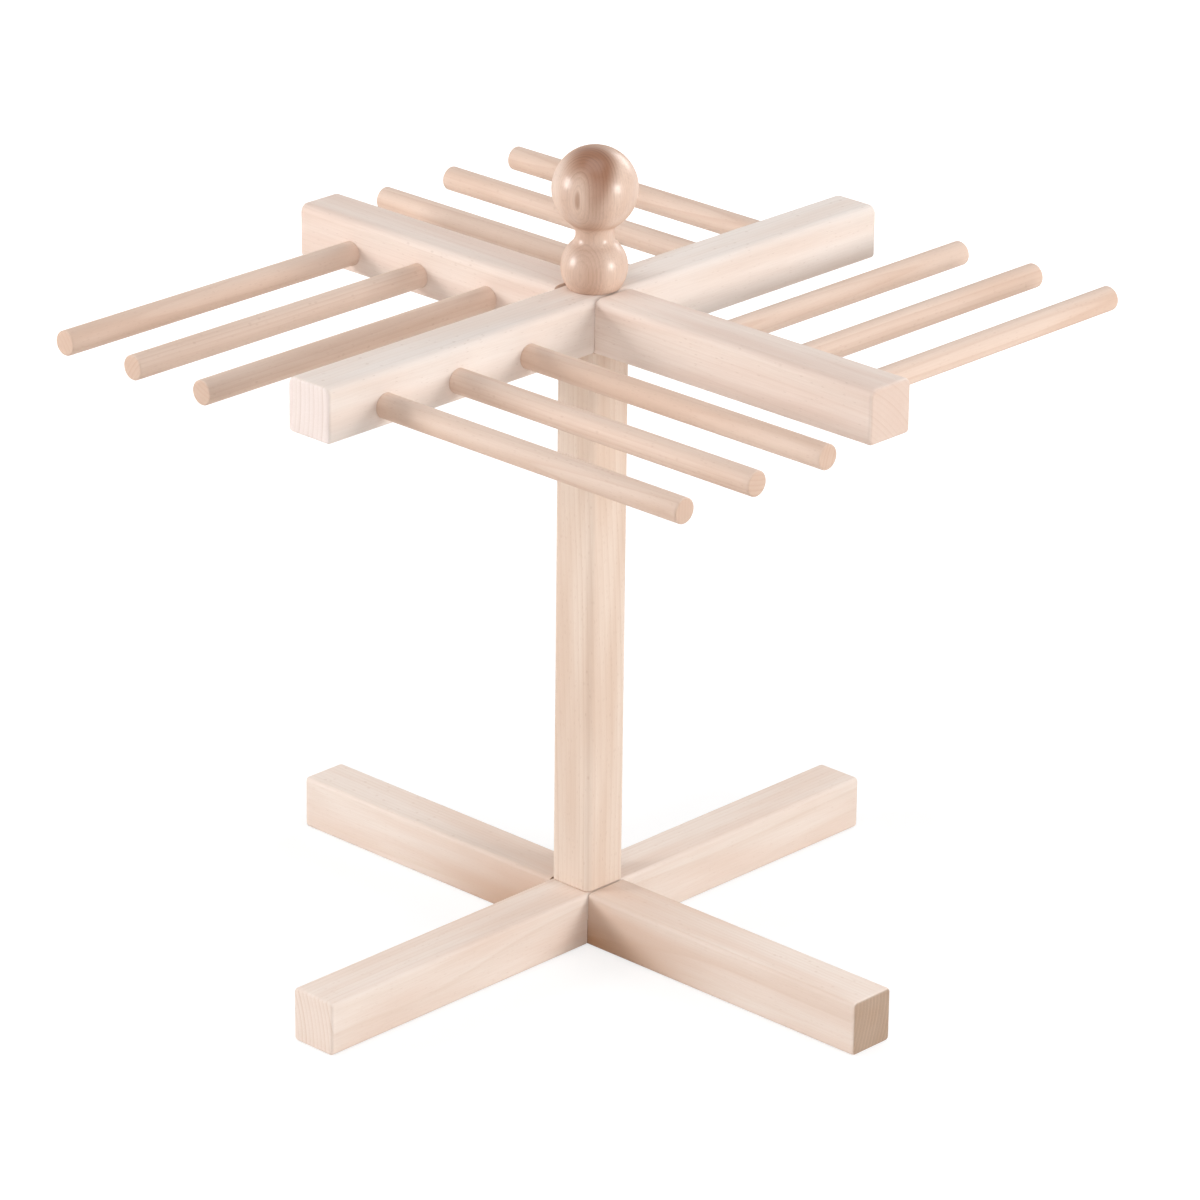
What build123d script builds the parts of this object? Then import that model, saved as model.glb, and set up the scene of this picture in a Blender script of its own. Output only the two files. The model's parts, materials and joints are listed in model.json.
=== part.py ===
from build123d import *
from math import sqrt
import os

# Pasta drying rack in beech: a lapped base cross, a square post that turns on a dowel, and a
# lapped upper cross with three drying rods on one side of each arm, topped by a turned knob.
# Millimetres, +Z up. The origin is on the table, under the middle of the rack.
# The front left arm points to -Y and the front right arm to +X.

os.makedirs("parts", exist_ok=True)

# Driving sizes of the base cross
base_bar_length = 365.0
base_bar_width = 25.5
base_bar_height = 27.0
base_edge_radius = 2.2
base_end_ease = 1.5

# Driving sizes of the upper cross
cross_bar_length = 365.0
cross_bar_width = 26.5
cross_bar_height = 26.5
cross_top_edge_radius = 4.0
cross_bottom_edge_radius = 2.1
cross_end_ease = 1.6

# Driving sizes of the post
post_length = 274.0
post_width = 25.0
post_edge_radius = 3.6
post_end_ease = 0.6

# Driving sizes of the drying rods
rod_diameter = 12.0
rod_free_length = 182.0
rod_seat_depth = 16.0
rod_height_above_underside = 10.0
rod_innermost_distance = 56.0
rod_outermost_distance_from_arm_end = 34.9
rod_tip_ease = 0.9

# Driving sizes of the dowel on which the post turns
pivot_diameter = 12.0
pivot_depth_in_post = 25.0
pivot_floor_thickness = 4.0
pivot_end_ease = 0.8

# Driving sizes of the knob and its dowel
knob_upper_radius = 20.2
knob_lower_radius = 15.7
knob_lower_centre_height = 10.2
knob_ball_spacing = 37.7
knob_neck_cove_radius = 6.4
knob_foot_ease = 0.5
knob_dowel_diameter = 12.0
knob_dowel_depth_in_knob = 18.0
knob_dowel_depth_in_post = 25.0
knob_dowel_end_ease = 0.8

# Clearances, each on one side or on the radius
lap_play = 0.2
dowel_play = 0.08
glue_gap = 0.02
dowel_end_gap = 2.0

# How far a cut runs past the face that it starts from
overrun = 1.0

# Shares of a size
lap_share = 0.5

# Heights of the faces where one piece stands on another
base_top = base_bar_height
cross_bottom = base_top + post_length
cross_top = cross_bottom + cross_bar_height

# Where the arms point, and how far out the rods stand on each of them, evenly spaced
arm_angles = {"front_left": -90, "front_right": 0, "back_right": 90, "back_left": 180}
rod_places = ["inner", "middle", "outer"]
rod_outermost_distance = cross_bar_length / 2 - rod_outermost_distance_from_arm_end
rod_pitch = (rod_outermost_distance - rod_innermost_distance) / (len(rod_places) - 1)
rod_distances = {
    place: rod_innermost_distance + number * rod_pitch for number, place in enumerate(rod_places)
}


def arm_frame(arm_name):
    """Plane at the rack's foot whose X runs out along the arm and whose Y is the rods' direction."""
    return Plane.XY.rotated((0, 0, arm_angles[arm_name]))


def rod_plane(arm_name, distance, reach):
    """Plane across a rod's axis, at a reach from the arm's middle plane, facing along the rod."""
    frame = arm_frame(arm_name)
    rod_height = cross_bottom + rod_height_above_underside
    centre = frame.from_local_coords((distance, reach, rod_height))
    return Plane(origin=centre, x_dir=frame.x_dir, z_dir=frame.y_dir)


def lath(arm_name, bottom, length, width, height, top_radius, bottom_radius, end_ease):
    """A planed lath along an arm's direction, centred on the rack, with rounded edges."""
    frame = arm_frame(arm_name)
    middle = frame.from_local_coords((0, 0, bottom + height / 2))
    with BuildPart() as blank:
        with BuildSketch(Plane(origin=middle, x_dir=frame.y_dir, z_dir=frame.x_dir)) as section:
            Rectangle(width, height)
            fillet(section.vertices().group_by(Axis.Y)[0], bottom_radius)
            fillet(section.vertices().group_by(Axis.Y)[-1], top_radius)
        extrude(amount=length / 2, both=True)
        ends = blank.faces().filter_by(Axis(middle, frame.x_dir))
        fillet(ends.edges(), end_ease)
    return blank.part


def cut_lap(arm_name, level, side, bar_height, bar_width):
    """Notches a bar for its twin, which crosses it, from a level up (Align.MIN) or down (Align.MAX)."""
    with Locations(arm_frame(arm_name).offset(level)):
        Box(bar_width + 2 * lap_play, bar_width + 2 * overrun, bar_height,
            align=(Align.CENTER, Align.CENTER, side), mode=Mode.SUBTRACT)


def bore(top, depth, diameter, play):
    """Drills a hole on the rack's axis, down from a height by a depth."""
    with Locations((0, 0, top)):
        Hole(radius=diameter / 2 + play, depth=depth)


def drill_rod_seats(arm_names):
    """Drills the blind seats of the rods, three on one side of each named arm."""
    face_reach = cross_bar_width / 2
    for arm_name in arm_names:
        for distance in rod_distances.values():
            with Locations(rod_plane(arm_name, distance, face_reach)):
                Hole(radius=rod_diameter / 2 + glue_gap, depth=rod_seat_depth)


def dowel(bottom, top, diameter, end_ease):
    """A round dowel on the rack's axis, eased at both ends."""
    with BuildPart() as stick:
        with BuildSketch(Plane.XY.offset(bottom)):
            Circle(diameter / 2)
        extrude(amount=top - bottom)
        chamfer(stick.edges().filter_by(GeomType.CIRCLE), end_ease)
    return stick.part


def save(piece, name):
    """Labels a finished piece and writes its STEP file."""
    piece.label = name
    export_step(piece, f"parts/{name}.step")


# Base cross: both bars stand on the table and are halved into each other where they cross

base_lap_level = base_bar_height * lap_share
base_lower_blank = lath("front_right", 0, base_bar_length, base_bar_width, base_bar_height,
                        base_edge_radius, base_edge_radius, base_end_ease)
base_upper_blank = lath("front_left", 0, base_bar_length, base_bar_width, base_bar_height,
                        base_edge_radius, base_edge_radius, base_end_ease)

with BuildPart() as base_bar_lower:
    add(base_lower_blank)
    cut_lap("front_right", base_lap_level, Align.MIN, base_bar_height, base_bar_width)
    bore(base_top, base_top - pivot_floor_thickness, pivot_diameter, dowel_play)
save(base_bar_lower.part, "base_bar_lower")

with BuildPart() as base_bar_upper:
    add(base_upper_blank)
    cut_lap("front_left", base_lap_level, Align.MAX, base_bar_height, base_bar_width)
    bore(base_top, base_bar_height, pivot_diameter, dowel_play)
save(base_bar_upper.part, "base_bar_upper")

# Pivot dowel: its foot stands in the blind bore of the lower bar and the post turns on its head

pivot_dowel = dowel(pivot_floor_thickness, base_top + pivot_depth_in_post - dowel_end_gap,
                    pivot_diameter, pivot_end_ease)
save(pivot_dowel, "pivot_dowel")

# Post: stands on the base cross and carries the upper cross on its end grain

with BuildPart() as post:
    with BuildSketch(Plane.XY.offset(base_top)):
        RectangleRounded(post_width, post_width, post_edge_radius)
    extrude(amount=post_length)
    chamfer(post.faces().filter_by(Axis.Z).edges(), post_end_ease)
    bore(base_top + pivot_depth_in_post, pivot_depth_in_post, pivot_diameter, dowel_play)
    bore(cross_bottom, knob_dowel_depth_in_post, knob_dowel_diameter, dowel_play)
save(post.part, "post")

# Upper cross: the lower bar runs from back left to front right, the upper bar lies across it

cross_lap_level = cross_bottom + cross_bar_height * lap_share
cross_lower_blank = lath("front_right", cross_bottom, cross_bar_length, cross_bar_width,
                         cross_bar_height, cross_top_edge_radius, cross_bottom_edge_radius,
                         cross_end_ease)
cross_upper_blank = lath("front_left", cross_bottom, cross_bar_length, cross_bar_width,
                         cross_bar_height, cross_top_edge_radius, cross_bottom_edge_radius,
                         cross_end_ease)

with BuildPart() as cross_bar_lower:
    add(cross_lower_blank)
    cut_lap("front_right", cross_lap_level, Align.MIN, cross_bar_height, cross_bar_width)
    bore(cross_top, cross_bar_height, knob_dowel_diameter, dowel_play)
    drill_rod_seats(["front_right", "back_left"])
save(cross_bar_lower.part, "cross_bar_lower")

with BuildPart() as cross_bar_upper:
    add(cross_upper_blank)
    cut_lap("front_left", cross_lap_level, Align.MAX, cross_bar_height, cross_bar_width)
    bore(cross_top, cross_bar_height, knob_dowel_diameter, dowel_play)
    drill_rod_seats(["front_left", "back_right"])
save(cross_bar_upper.part, "cross_bar_upper")

# Drying rods: glued into blind seats, all pointing the same way round the rack

for arm in arm_angles:
    for place, distance in rod_distances.items():
        seat_floor = rod_plane(arm, distance, cross_bar_width / 2 - rod_seat_depth)
        with BuildPart() as rod:
            with BuildSketch(seat_floor):
                Circle(rod_diameter / 2)
            extrude(amount=rod_seat_depth + rod_free_length)
            fillet(rod.edges().filter_by(GeomType.CIRCLE), rod_tip_ease)
        save(rod.part, f"rod_{arm}_{place}")

# Knob: a small ball cut flat on the upper cross and a large ball, turned in one piece

knob_lower_centre = cross_top + knob_lower_centre_height
knob_upper_centre = knob_lower_centre + knob_ball_spacing

# The neck between the balls is one round cove that touches both, so its centre is a cove's radius
# off each ball
cove_to_lower = knob_lower_radius + knob_neck_cove_radius
cove_to_upper = knob_upper_radius + knob_neck_cove_radius
cove_rise = (knob_ball_spacing**2 + cove_to_lower**2 - cove_to_upper**2) / (2 * knob_ball_spacing)
cove_centre = (sqrt(cove_to_lower**2 - cove_rise**2), knob_lower_centre + cove_rise)

with BuildPart() as knob:
    with BuildSketch(Plane.XZ) as knob_profile:
        with Locations((0, knob_lower_centre)):
            Circle(knob_lower_radius)
        with Locations((0, knob_upper_centre)):
            Circle(knob_upper_radius)
        Polygon((0, knob_lower_centre), cove_centre, (0, knob_upper_centre), align=None)
        with Locations(cove_centre):
            Circle(knob_neck_cove_radius, mode=Mode.SUBTRACT)
        with Locations((0, cross_top)):
            Rectangle(2 * knob_lower_radius + overrun, knob_lower_radius + overrun,
                      align=(Align.CENTER, Align.MAX), mode=Mode.SUBTRACT)
        split(bisect_by=Plane.YZ)
        foot_corner = knob_profile.vertices().group_by(Axis.Y)[0].sort_by(Axis.X)[-1]
        fillet(foot_corner, knob_foot_ease)
    revolve(axis=Axis.Z)
    bore(cross_top + knob_dowel_depth_in_knob, knob_dowel_depth_in_knob, knob_dowel_diameter,
         glue_gap)
save(knob.part, "knob")

# Knob dowel: glued in the knob, it runs down through both bars of the cross into the post

knob_dowel = dowel(cross_bottom - knob_dowel_depth_in_post + dowel_end_gap,
                   cross_top + knob_dowel_depth_in_knob, knob_dowel_diameter,
                   knob_dowel_end_ease)
save(knob_dowel, "knob_dowel")
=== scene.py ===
"""Looks of the beech pasta drying rack: its woods, its turned surfaces and a plain studio."""
import json
import logging
import math
from dataclasses import dataclass, replace
from enum import Enum
from typing import Any, Mapping, Optional, Sequence, Union

import bpy
import numpy as np
from mathutils import Euler, Matrix, Vector


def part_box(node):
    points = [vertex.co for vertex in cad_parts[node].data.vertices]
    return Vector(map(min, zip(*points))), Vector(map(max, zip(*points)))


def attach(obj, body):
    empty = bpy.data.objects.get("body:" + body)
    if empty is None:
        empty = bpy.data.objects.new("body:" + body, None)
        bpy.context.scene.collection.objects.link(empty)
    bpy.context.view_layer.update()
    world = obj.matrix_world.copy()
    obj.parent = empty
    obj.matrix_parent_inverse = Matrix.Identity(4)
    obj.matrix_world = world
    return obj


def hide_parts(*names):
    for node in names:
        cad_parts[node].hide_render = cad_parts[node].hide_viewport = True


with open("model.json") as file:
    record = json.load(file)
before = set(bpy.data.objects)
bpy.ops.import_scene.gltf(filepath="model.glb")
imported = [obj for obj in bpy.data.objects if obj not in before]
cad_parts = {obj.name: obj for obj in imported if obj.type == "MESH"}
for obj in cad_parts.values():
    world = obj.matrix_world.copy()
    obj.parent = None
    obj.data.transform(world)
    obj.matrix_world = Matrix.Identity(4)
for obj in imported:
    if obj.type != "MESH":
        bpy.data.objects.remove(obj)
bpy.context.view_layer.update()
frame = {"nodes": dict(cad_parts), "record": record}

MM = 0.001
# The value round which Blender's noise varies.
NOISE_MEAN = 0.5
# Points of a new mesh that fall on one step of this grid, in metres, are one point.
WELD = 1e-7
# Edges that turn by more than this aren't shaded smooth.
SHARP_ANGLE = math.radians(35.0)
LOG = logging.getLogger("drying_rack")

Rgb = tuple[float, float, float]
Rgba = tuple[float, float, float, float]
Number = Union["Wire", float]
Paint = Union["Wire", Rgba]


def srgb(red: float, green: float, blue: float) -> Rgba:
    """Turns a screen colour into the linear one that shaders take, by the sRGB curve.

    Args:
        red: red from 0 to 255.
        green: green from 0 to 255.
        blue: blue from 0 to 255.

    Returns:
        Linear red, green, blue and a full alpha.
    """
    screen = np.array((red, green, blue)) / 255.0
    linear = np.where(screen <= 0.04045, screen / 12.92, ((screen + 0.055) / 1.055) ** 2.4)
    return (*linear.tolist(), 1.0)


def grey(level: float) -> Rgba:
    """Returns a linear grey, from 0 for black to 1 for white."""
    return (level, level, level, 1.0)


class Wire:
    """A value in a shader that is written like a number.

    Each operator adds one Math node to its tree and returns the wire that leaves it.
    """

    def __init__(self, tree: "ShaderTree", socket: Optional[bpy.types.NodeSocket]) -> None:
        """Wraps an output socket of a tree, or nothing for a node that has none."""
        self.tree = tree
        self.socket = socket

    def other(self, output: Union[str, int]) -> "Wire":
        """Returns another output of the node that this wire leaves."""
        return Wire(self.tree, self.socket.node.outputs[output])

    def math(self, operation: str, *others: Number) -> "Wire":
        """Passes this wire and up to two more values through a Math node."""
        return self.tree.math(operation, self, *others)

    def __add__(self, other: Number) -> "Wire":
        """This value plus another."""
        return self.tree.math("ADD", self, other)

    def __radd__(self, other: Number) -> "Wire":
        """Another value plus this one."""
        return self.tree.math("ADD", other, self)

    def __sub__(self, other: Number) -> "Wire":
        """This value less another."""
        return self.tree.math("SUBTRACT", self, other)

    def __rsub__(self, other: Number) -> "Wire":
        """Another value less this one."""
        return self.tree.math("SUBTRACT", other, self)

    def __mul__(self, other: Number) -> "Wire":
        """This value times another."""
        return self.tree.math("MULTIPLY", self, other)

    def __rmul__(self, other: Number) -> "Wire":
        """Another value times this one."""
        return self.tree.math("MULTIPLY", other, self)

    def __truediv__(self, other: Number) -> "Wire":
        """This value divided by another."""
        return self.tree.math("DIVIDE", self, other)

    def __rtruediv__(self, other: Number) -> "Wire":
        """Another value divided by this one."""
        return self.tree.math("DIVIDE", other, self)


class ShaderTree:
    """The node tree of one material or world, built from Python expressions."""

    def __init__(self, owner: Union[bpy.types.Material, bpy.types.World]) -> None:
        """Empties the owner's node tree and keeps it.

        Args:
            owner: the material or the world.
        """
        owner.use_nodes = True
        self.nodes = owner.node_tree.nodes
        self.links = owner.node_tree.links
        self.nodes.clear()

    def add(self, kind: str, settings: Optional[Mapping[str, Any]] = None,
            sockets: Optional[Mapping[Union[str, int], Any]] = None,
            output: Union[str, int] = 0) -> Wire:
        """Adds a node, sets it up and feeds its sockets.

        Args:
            kind: the node's type.
            settings: the node's own properties, set first.
            sockets: a value or a wire for each input that isn't left as it is.
            output: the output to return.

        Returns:
            The wire that leaves that output.
        """
        node = self.nodes.new(kind)
        for name, value in (settings or {}).items():
            setattr(node, name, value)
        for name, value in (sockets or {}).items():
            if isinstance(value, Wire):
                self.links.new(value.socket, node.inputs[name])
            else:
                node.inputs[name].default_value = value
        return Wire(self, node.outputs[output] if len(node.outputs) else None)

    def math(self, operation: str, *values: Number) -> Wire:
        """Adds a Math node on up to three values."""
        return self.add("ShaderNodeMath", {"operation": operation}, dict(enumerate(values)))

    def split(self, vector: Wire) -> tuple[Wire, Wire, Wire]:
        """Returns the three components of a vector."""
        first = self.add("ShaderNodeSeparateXYZ", {}, {"Vector": vector})
        return first, first.other(1), first.other(2)

    def smooth(self, value: Number, start: float, end: float) -> Wire:
        """Returns a step that eases from 0 at start to 1 at end."""
        return self.add("ShaderNodeMapRange", {"interpolation_type": "SMOOTHSTEP"},
                        {"Value": value, "From Min": start, "From Max": end})

    def blend(self, factor: Number, first: Paint, second: Paint) -> Wire:
        """Mixes two colours."""
        return self.add("ShaderNodeMix", {"data_type": "RGBA"},
                        {0: factor, 6: first, 7: second}, output=2)

    def noise(self, vector: Wire, sizes: Sequence[float], detail: float = 0.0,
              shift: float = 0.0) -> Wire:
        """Returns smooth noise from 0 to 1 whose blobs have a size along each axis.

        Args:
            vector: the place, in millimetres.
            sizes: the blobs' sizes along the three axes, in millimetres.
            detail: how many finer layers are added.
            shift: how far the pattern is moved, to make it another one.

        Returns:
            The noise's value.
        """
        shrunk = self.add("ShaderNodeVectorMath", {"operation": "MULTIPLY_ADD"},
                          {0: vector, 1: [1.0 / size for size in sizes], 2: (shift,) * 3})
        return self.add("ShaderNodeTexNoise", {}, {"Vector": shrunk, "Scale": 1.0, "Detail": detail})


class GrainRun(Enum):
    """Which way the fibres run: the turn that lays them along the pattern's X."""

    ALONG_X = (0.0, 0.0, 0.0)
    ALONG_Y = (0.0, 0.0, -math.pi / 2)
    ALONG_Z = (0.0, math.pi / 2, 0.0)

    @property
    def axis(self) -> int:
        """The world axis of the fibres."""
        return list(GrainRun).index(self)


@dataclass(frozen=True)
class LogCut:
    """How a piece was sawn from its log, in millimetres from the piece's centre.

    Attributes:
        run: which way the fibres run.
        heart: where the log's heart lies, across the fibres, in the pattern's Y and Z.
        lean: how far the heart drifts for each millimetre along the fibres.
        ring_width: the mean distance between growth lines.
        sway: how far the growth lines wander.
        shift: moves the noise, so that no two pieces are alike.
    """

    run: GrainRun
    heart: tuple[float, float]
    lean: tuple[float, float] = (0.0, 0.0)
    ring_width: float = 2.0
    sway: float = 3.0
    shift: float = 0.0


@dataclass(frozen=True)
class Heartwood:
    """The brown wood on one side of the log's heart, wider and deeper at one end of a piece.

    Lengths are in millimetres.

    Attributes:
        colour: its colour.
        near: how far from the heart it starts.
        far: how far from the heart it ends.
        facing: the angle, in degrees round the heart, of the side where it lies.
        flare: how much further out it ends for each millimetre along the fibres.
        flare_start: where along the fibres it begins to widen.
        fade: where along the fibres it is faintest, and where deepest.
        faintest: how strongly it shows at its faint end, from 0 to 1.
        softness: how wide its soft borders are.
        strength: how strongly it shows, from 0 to 1.
        pith: the radius of the dark thread in the middle of the log.
    """

    colour: Rgba
    near: float
    far: float
    facing: float
    flare: float
    flare_start: float
    fade: tuple[float, float]
    faintest: float
    softness: float
    strength: float
    pith: float


@dataclass(frozen=True)
class BeechFinish:
    """The colours and the sheen of one kind of beech on the rack.

    Attributes:
        pale: the colour between the growth lines.
        warm: the colour of the broad darker clouds.
        line: the colour of the growth lines.
        fleck: the colour of the short ray flecks.
        end: the colour of the end grain.
        line_strength: how strongly the growth lines show, from 0 to 1.
        fleck_strength: how strongly the flecks show, from 0 to 1.
        fleck_share: which share of the rays is dark enough to show.
        roughness: the roughness of the bare wood.
        relief: the depth of the open grain, in millimetres.
        gloss: the specular level of the bare wood.
        lacquer: the weight of the clear coat.
        middle: the colour of a painted shade and warm reflection at the piece's middle, if any.
        heartwood: the brown wood round the heart, if the piece has some.
    """

    pale: Rgba
    warm: Rgba
    line: Rgba
    fleck: Rgba
    end: Rgba
    line_strength: float = 0.3
    fleck_strength: float = 0.3
    fleck_share: float = 0.25
    roughness: float = 0.62
    relief: float = 0.04
    gloss: float = 0.4
    lacquer: float = 0.0
    middle: Optional[Rgba] = None
    heartwood: Optional[Heartwood] = None


class Finishes:
    """The finishes, one for each material slot of the record, and those of single bars."""

    BASE = BeechFinish(
        pale=srgb(244, 231, 221), warm=srgb(238, 219, 206), line=srgb(212, 181, 157),
        fleck=srgb(196, 164, 142), end=srgb(242, 226, 215),
        line_strength=0.22, fleck_strength=0.2, fleck_share=0.15)
    # The lower base bar: its darker end is partly end grain and partly painted shade, and its middle
    # holds a painted shade and painted warm reflection, deepest at the foot.
    BASE_LOWER = replace(BASE, end=srgb(148, 119, 92), middle=srgb(184, 140, 106))
    CROSS = BeechFinish(
        pale=srgb(244, 233, 225), warm=srgb(239, 223, 212), line=srgb(208, 186, 171),
        fleck=srgb(190, 164, 148), end=srgb(245, 232, 228),
        line_strength=0.22, fleck_strength=0.3, fleck_share=0.1)
    # The lower cross bar is darker and browner than the upper one: partly its own tone, partly
    # painted shade.
    CROSS_LOWER = replace(
        CROSS, pale=srgb(239, 223, 212), warm=srgb(231, 209, 196), line=srgb(204, 174, 155),
        end=srgb(222, 199, 185), line_strength=0.15)
    POST = BeechFinish(
        pale=srgb(238, 220, 205), warm=srgb(228, 205, 187), line=srgb(208, 177, 153),
        fleck=srgb(184, 148, 124), end=srgb(214, 188, 166), fleck_strength=0.22)
    ROD = BeechFinish(
        pale=srgb(231, 208, 192), warm=srgb(222, 194, 175), line=srgb(204, 168, 145),
        fleck=srgb(182, 143, 119), end=srgb(212, 184, 165), fleck_strength=0.2)
    KNOB = BeechFinish(
        pale=srgb(234, 208, 190), warm=srgb(228, 198, 178), line=srgb(124, 82, 56),
        fleck=srgb(168, 124, 98), end=srgb(206, 170, 146), fleck_strength=0.15,
        roughness=0.45, relief=0.01, lacquer=1.0, gloss=0.1, heartwood=Heartwood(
            colour=srgb(142, 86, 48), near=4.5, far=13.5, facing=-46.6, flare=0.4,
            flare_start=12.0, fade=(2.0, 28.0), faintest=0.4, softness=5.0, strength=0.9,
            pith=2.8))


@dataclass(frozen=True)
class Figure:
    """What the wood is like at one place, as wires that its colours and its relief share.

    Attributes:
        along: millimetres from the piece's middle along the fibres.
        through: millimetres from the piece's middle along the pattern's Z.
        from_heart: millimetres from the log's heart along the pattern's Y.
        above_heart: millimetres from the log's heart along the pattern's Z.
        reach: the distance from the log's heart, in millimetres.
        line: how dark the growth line is, from 0 between the lines to 1.
        fibre: the noise of the fibres, from 0 to 1.
        cloud: 1 in a warm cloud and 0 in pale wood.
        ray: 1 in a ray fleck and 0 beside it.
        end: 1 on end grain and 0 on a long face.
    """

    along: Wire
    through: Wire
    from_heart: Wire
    above_heart: Wire
    reach: Wire
    line: Wire
    fibre: Wire
    cloud: Wire
    ray: Wire
    end: Wire


class BeechPaint:
    """Makes the material of one piece of beech from its finish and its place in the log.

    The wood is solid: every colour is a function of the place inside the log, so that faces,
    rounded edges and end grain agree. Growth lines are shells around the log's heart, rays are
    thin lenses that stand on them, and fibres are long thin noise. Sizes are in millimetres.

    Attributes:
        FIBRE_SIZE: the size of a fibre, along the grain and across it.
        FIBRE_DETAIL: how many finer layers the fibres have.
        CLOUD_SIZE: the size of a cloud.
        CLOUD_DETAIL: how many finer layers the clouds have.
        CLOUD_SHIFT: sets the clouds' noise apart from the fibres'.
        CLOUD_EDGE: the noise at which a cloud begins, and at which it is warmest.
        SWAY_SIZE: the size of a bend in the growth lines.
        SWAY_SHIFT: sets the bends along the pattern's Z apart from those along its Y.
        LINE_POWER: how steeply a year's growth darkens towards its line.
        LINE_FADE: the share of the year at which the line is gone, and at which it still is full.
        LINE_FAINTEST: how strongly the faintest year's line shows, where the strongest has 1.
        LINE_GAIN: what the lines' strength is scaled by, and what end grain adds to that.
        BROWN_GAIN: what the lines are scaled by outside the heartwood, and what it adds inside.
        STREAK_EDGE: the fibres' noise at which a dark streak begins, and at which it is darkest.
        STREAK_STRENGTH: how strongly the streaks show, from 0 to 1.
        RAY_SIZE: the cell of a ray, along the fibres, round the heart and away from it.
        RAY_EDGE: the distance from a ray's middle at which it ends, and at which it is full,
            in cells.
        RAY_CHOICE: how softly the rays that show part from the others.
        END_TURN: how far a face looks along the fibres, as a cosine, where end grain begins, and
            where it is full.
        END_COVER: how strongly the colour of the end grain covers the wood's, from 0 to 1.
        END_FLECK_LOSS: the share of a fleck's strength that is lost on end grain.
        HUB_SHADE_REACH: how far along the fibres the painted shade of the middle spreads.
        HUB_SHADE_RISE: how far above and below the piece's middle its strength changes.
        HUB_SHADE_FAINTEST: its strength at the top, where the foot has 1, so darker towards the
            foot.
        SIDE_SPREAD: how far the heartwood's side border spreads past the heart, in softnesses.
        PITH_CORE: the share of the pith's radius that is darkest.
        PITH_DEPTH: how dark the pith is, where the heartwood has 1.
        FIBRE_RELIEF: the share of the relief by which fibres stand up.
        LINE_RELIEF: the share by which growth lines lie deeper.
        RAY_RELIEF: the share by which rays lie deeper.
        FIBRE_ROUGHNESS: how much the roughness varies with the fibres.
        END_ROUGHNESS: how much rougher end grain is.
        COAT_ROUGHNESS: the roughness of the clear coat.
        COAT_IOR: its index of refraction.
        COAT_THINNING: the share of it that is missing where it is seen edge on.
        COAT_EDGE: how far a face turns from the eye where the coat begins to thin, and where it
            is thinnest, from 0 to 1.
    """

    FIBRE_SIZE = (16.0, 0.5, 0.5)
    FIBRE_DETAIL = 3.0
    CLOUD_SIZE = (110.0, 13.0, 13.0)
    CLOUD_DETAIL = 1.0
    CLOUD_SHIFT = 5.0
    CLOUD_EDGE = (0.35, 0.7)
    SWAY_SIZE = (150.0, 34.0, 34.0)
    SWAY_SHIFT = 31.0
    LINE_POWER = 3.0
    LINE_FADE = (1.0, 0.88)
    LINE_FAINTEST = 0.25
    LINE_GAIN = (1.6, 1.8)
    BROWN_GAIN = (0.3, 1.2)
    STREAK_EDGE = (0.62, 0.35)
    STREAK_STRENGTH = 0.1
    RAY_SIZE = (3.2, 0.45, 2.6)
    RAY_EDGE = (0.4, 0.15)
    RAY_CHOICE = 0.05
    END_TURN = (0.55, 0.95)
    END_COVER = 0.8
    END_FLECK_LOSS = 0.85
    # Painted shade and warm reflection over the middle of a piece, darker towards its foot.
    HUB_SHADE_REACH = 130.0
    HUB_SHADE_RISE = 12.0
    HUB_SHADE_FAINTEST = 0.35
    SIDE_SPREAD = 2.2
    PITH_CORE = 0.65
    PITH_DEPTH = 0.6
    FIBRE_RELIEF = 0.8
    LINE_RELIEF = 0.5
    RAY_RELIEF = 0.4
    FIBRE_ROUGHNESS = 0.14
    END_ROUGHNESS = 0.12
    COAT_ROUGHNESS = 0.3
    COAT_IOR = 1.5
    COAT_THINNING = 0.97
    COAT_EDGE = (0.55, 0.86)

    def __init__(self, finish: BeechFinish, cut: LogCut) -> None:
        """Keeps the finish and the cut."""
        self.finish = finish
        self.cut = cut

    def material(self, name: str, centre: Vector) -> bpy.types.Material:
        """Makes the material.

        Args:
            name: the material's name.
            centre: the middle of the piece, in metres.

        Returns:
            The material.
        """
        material = bpy.data.materials.new(name)
        tree = ShaderTree(material)
        figure = self._figure(tree, centre)
        height = (figure.fibre * self.FIBRE_RELIEF - figure.line * self.LINE_RELIEF
                  - figure.ray * self.RAY_RELIEF)
        bump = tree.add("ShaderNodeBump", {}, {
            "Height": height, "Distance": self.finish.relief * MM, "Strength": 1.0}, "Normal")
        roughness = (self.finish.roughness + (figure.fibre - NOISE_MEAN) * self.FIBRE_ROUGHNESS
                     + figure.end * self.END_ROUGHNESS)
        surface = tree.add("ShaderNodeBsdfPrincipled", {}, {
            "Base Color": self._colour(tree, figure),
            "Roughness": roughness,
            "Normal": bump,
            "Specular IOR Level": self.finish.gloss,
            "Coat Weight": self._coat(tree),
            "Coat Roughness": self.COAT_ROUGHNESS,
            "Coat IOR": self.COAT_IOR})
        tree.add("ShaderNodeOutputMaterial", {}, {"Surface": surface})
        return material

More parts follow.
